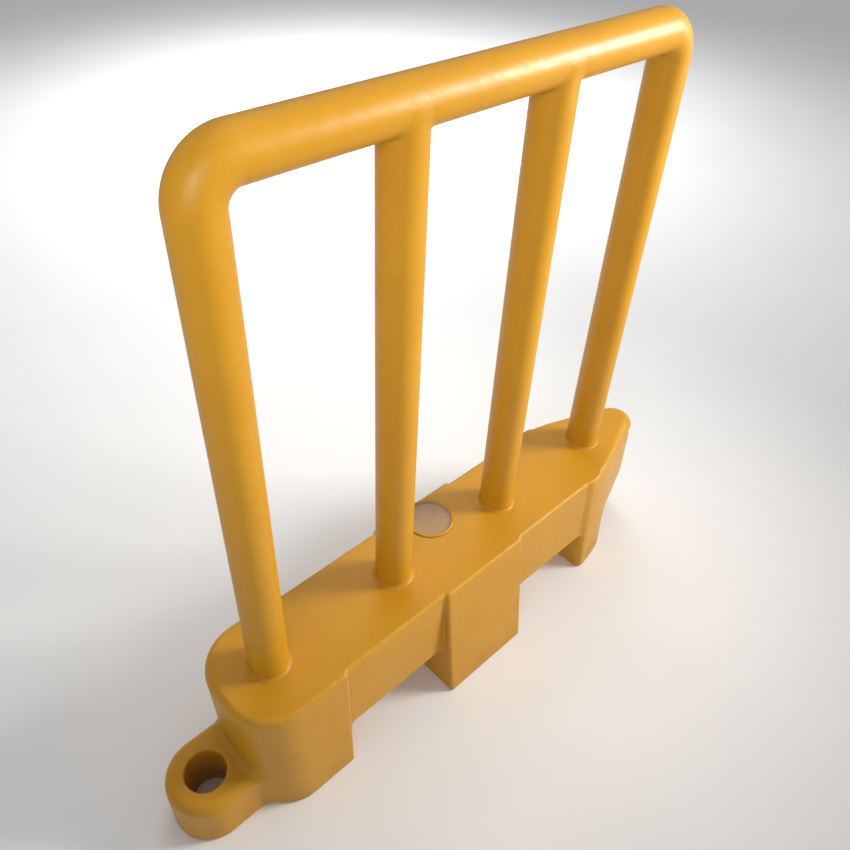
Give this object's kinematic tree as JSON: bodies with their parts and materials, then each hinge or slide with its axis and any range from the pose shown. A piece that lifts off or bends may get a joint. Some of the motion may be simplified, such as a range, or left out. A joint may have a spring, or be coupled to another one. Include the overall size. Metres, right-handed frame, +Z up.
{
  "type": "crowd control barrier",
  "caption": "Free-standing crowd control barrier: hollow ballast base with feet, filler cap and drain plug, an eye and a peg that link barriers in line, and a round-tube guard above.",
  "frame": {"origin": "on the ground under the middle of the overall length and on the centre plane of the guard", "axes": "+X along the barrier from the eye end to the peg end, +Y to the side with the filler and drain, +Z up"},
  "size_m": [1.0726, 0.2372, 1],
  "materials": {
    "moulded_yellow": "satin rotationally moulded polyethylene",
    "natural_cap": "milky natural polyethylene",
    "brass_insert": "turned",
    "seal_rubber": "matt",
    "dark_plug": "satin"
  },
  "bodies": {
    "base": {"eye_lug": "moulded_yellow", "low_base_section": "moulded_yellow", "low_foot": "moulded_yellow", "middle_base_section": "moulded_yellow", "middle_foot": "moulded_yellow", "high_base_section": "moulded_yellow", "high_foot": "moulded_yellow", "peg_nose": "moulded_yellow", "low_end_post": "moulded_yellow", "low_inner_post": "moulded_yellow", "high_inner_post": "moulded_yellow", "high_end_post": "moulded_yellow", "top_rail": "moulded_yellow", "drain_bush": "brass_insert"},
    "filler_cap": {"filler_cap": "natural_cap"},
    "drain_seal": {"drain_seal": "seal_rubber"},
    "drain_plug": {"drain_plug": "dark_plug"}
  },
  "joints": [
    {"name": "filler_cap_pull", "type": "slide", "parent": "base", "child": "filler_cap", "axis": [0, 0, 1], "range_m": [0, 0.03]},
    {"name": "drain_plug_travel", "type": "slide", "parent": "base", "child": "drain_seal", "axis": [0, 1, 0], "range_m": [0, 0.014]},
    {"name": "drain_plug_turn", "type": "hinge", "parent": "drain_seal", "child": "drain_plug", "pos_m": [0.01765, 0.099, 0.045], "axis": [0, 1, 0], "range_deg": [0, 2016.1]}
  ],
  "couplings": [
    {"joint": "drain_plug_turn", "follows": "drain_plug_travel", "rad_per_m": 2513.3}
  ]
}
